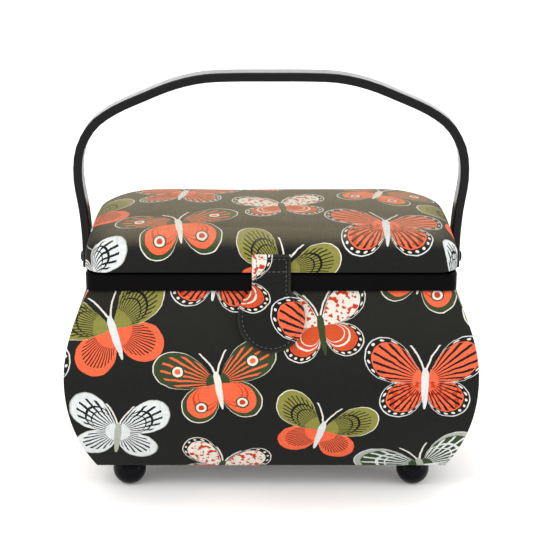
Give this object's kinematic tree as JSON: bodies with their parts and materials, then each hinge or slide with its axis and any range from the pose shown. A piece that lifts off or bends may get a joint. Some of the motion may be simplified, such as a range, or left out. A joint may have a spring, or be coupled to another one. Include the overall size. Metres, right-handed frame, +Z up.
{
  "type": "sewing box with trays",
  "caption": "Cloth-covered sewing box with bulging walls, padded hinged lid, magnetic closing tab, swinging bail handle, ball feet and lift-out trays inside.",
  "frame": {"origin": "on the ground under the middle of the box", "axes": "+X to the right seen from the front, +Y to the back, +Z up; the tab and the lid's free edge face -Y"},
  "size_m": [0.305, 0.1679, 0.3169],
  "materials": {
    "printed_cotton": "matte",
    "lining_cloth": "matte",
    "coral_cloth": "matte",
    "foam": "matte",
    "grey_board": "matte",
    "black_plastic": "gloss",
    "handle_plastic": "satin",
    "tray_plastic": "satin",
    "steel": "satin"
  },
  "bodies": {
    "box": {"front_cover": "printed_cotton", "front_board": "grey_board", "front_lining": "lining_cloth", "back_cover": "printed_cotton", "back_board": "grey_board", "back_lining": "lining_cloth", "left_cover": "printed_cotton", "left_board": "grey_board", "left_lining": "lining_cloth", "right_cover": "printed_cotton", "right_board": "grey_board", "right_lining": "lining_cloth", "magnet_plate": "steel", "base_cover": "lining_cloth", "base_board": "grey_board", "base_lining": "lining_cloth", "foot_front_left": "black_plastic", "foot_front_right": "black_plastic", "foot_rear_left": "black_plastic", "foot_rear_right": "black_plastic", "foot_screw_front_left": "steel", "foot_screw_front_right": "steel", "foot_screw_rear_left": "steel", "foot_screw_rear_right": "steel", "rim_frame": "black_plastic", "hinge_pin_left": "steel", "hinge_pin_right": "steel"},
    "lid": {"lid_frame": "black_plastic", "lid_walls": "grey_board", "lid_board": "grey_board", "lid_foam": "foam", "lid_cover": "printed_cotton", "lid_lining": "lining_cloth", "pincushion": "coral_cloth", "lid_pocket": "lining_cloth", "pocket_elastic": "coral_cloth", "tab_patch": "printed_cotton"},
    "tab": {"closure_tab": "printed_cotton", "tab_magnet": "steel"},
    "handle": {"handle_bail": "handle_plastic", "handle_pivot_left": "black_plastic", "handle_pivot_right": "black_plastic"},
    "tray_left": {"tray_left": "tray_plastic"},
    "tray_right": {"tray_right": "tray_plastic"}
  },
  "joints": [
    {"name": "lid_hinge", "type": "hinge", "parent": "box", "child": "lid", "pos_m": [0, 0.0719, 0.181], "axis": [-1, 0, 0], "range_deg": [0, 92]},
    {"name": "tab_hinge", "type": "hinge", "parent": "lid", "child": "tab", "pos_m": [0, -0.0728, 0.1803], "axis": [-1, 0, 0], "range_deg": [0, 90]},
    {"name": "handle_swing", "type": "hinge", "parent": "box", "child": "handle", "pos_m": [0, -0.003, 0.1736], "axis": [1, 0, 0], "range_deg": [-96, 0]},
    {"name": "tray_left_lift", "type": "slide", "parent": "box", "child": "tray_left", "axis": [0, 0, 1], "range_m": [0, 0.016]},
    {"name": "tray_right_lift", "type": "slide", "parent": "box", "child": "tray_right", "axis": [0, 0, 1], "range_m": [0, 0.016]}
  ],
  "couplings": [
    {"joint": "handle_swing", "follows": "lid_hinge", "ratio": -1.04}
  ]
}
